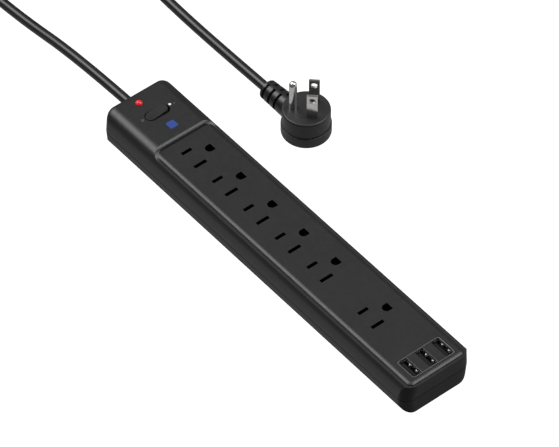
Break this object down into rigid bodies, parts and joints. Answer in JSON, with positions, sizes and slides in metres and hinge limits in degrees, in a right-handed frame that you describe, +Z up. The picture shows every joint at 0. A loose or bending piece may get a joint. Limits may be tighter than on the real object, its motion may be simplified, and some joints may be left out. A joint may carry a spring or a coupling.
{
  "type": "power strip",
  "caption": "Long black power strip with a row of grounded sockets, USB charging ports, a rocker switch, a red lamp and a mains cord that ends in a flat angled plug.",
  "frame": {"origin": "middle of the strip's flat underside, where it rests on a table; the cord and plug aren't counted", "axes": "+X along the strip from its cord end to its USB end, +Y towards the ground holes' side, +Z up from the table"},
  "size_m": [0.4863, 0.1136, 0.0399],
  "materials": {
    "housing": "fine satin moulded black",
    "panel": "satin moulded black",
    "bezel": "satin moulded black",
    "port_tin": "bright tin plate",
    "port_insulator": "black",
    "gilt": "bright",
    "board": "green lacquer",
    "ferrite": "dull",
    "can": "brushed can",
    "tray": "natural nylon",
    "switch_body": "moulded black",
    "brass": "rolled strip",
    "rocker": "satin moulded black",
    "steel": "zinc plated",
    "plunger": "acetal",
    "red_lens": "clear red",
    "lamp_glass": "clear",
    "cord": "satin flexible",
    "clamp": "moulded",
    "tie": "woven strap",
    "varistor": "blue epoxy dip",
    "fuse": "ceramic",
    "black_core": "wire insulation",
    "white_core": "wire insulation",
    "green_core": "wire insulation",
    "plug": "satin moulded black",
    "prong": "nickel plate"
  },
  "bodies": {
    "strip": {"upper_shell": "housing", "lower_cover": "housing", "socket_panel": "panel", "usb_bezel": "bezel", "usb_port_shell_1": "port_tin", "usb_port_shell_2": "port_tin", "usb_port_shell_3": "port_tin", "usb_port_tongue_1": "port_insulator", "usb_port_tongue_2": "port_insulator", "usb_port_tongue_3": "port_insulator", "usb_port_contacts_1": "gilt", "usb_port_contacts_2": "gilt", "usb_port_contacts_3": "gilt", "usb_board": "board", "surge_board": "board", "usb_transformer": "ferrite", "usb_capacitors": "can", "insulator_tray": "tray", "switch_housing": "switch_body", "live_busbar": "brass", "neutral_busbar": "brass", "ground_busbar": "brass", "supply_terminal": "brass", "load_terminal": "brass", "clamp_screws": "steel", "housing_screws": "steel", "indicator_lens": "red_lens", "indicator_lamp": "lamp_glass", "cord_bushing": "cord", "cord_tail": "cord", "cord_strip_side": "cord", "cord_plug_side": "cord", "cord_coil": "cord", "cord_clamp": "clamp", "clamp_base": "clamp", "coil_tie_outer": "tie", "coil_tie_inner": "tie", "varistor_1": "varistor", "varistor_2": "varistor", "varistor_3": "varistor", "thermal_fuse": "fuse", "live_lead": "black_core", "load_lead": "black_core", "neutral_lead": "white_core", "ground_lead": "green_core", "plug_body": "plug", "plug_back": "plug", "plug_relief": "plug", "plug_blade_left": "prong", "plug_blade_right": "prong", "plug_ground_pin": "prong"},
    "rocker": {"rocker_button": "rocker", "rocker_axle": "steel", "switch_plunger": "plunger", "plunger_spring": "steel"},
    "lever": {"contact_lever": "brass"}
  },
  "joints": [
    {"name": "rocker_tilt", "type": "hinge", "parent": "strip", "child": "rocker", "pos_m": [-0.11565, 0, 0.0232], "axis": [1, 0, 0], "range_deg": [-16, 0]},
    {"name": "lever_tilt", "type": "hinge", "parent": "strip", "child": "lever", "pos_m": [-0.11565, 0, 0.0126], "axis": [1, 0, 0], "range_deg": [0, 10]}
  ],
  "couplings": [
    {"joint": "lever_tilt", "follows": "rocker_tilt", "ratio": -0.625}
  ]
}
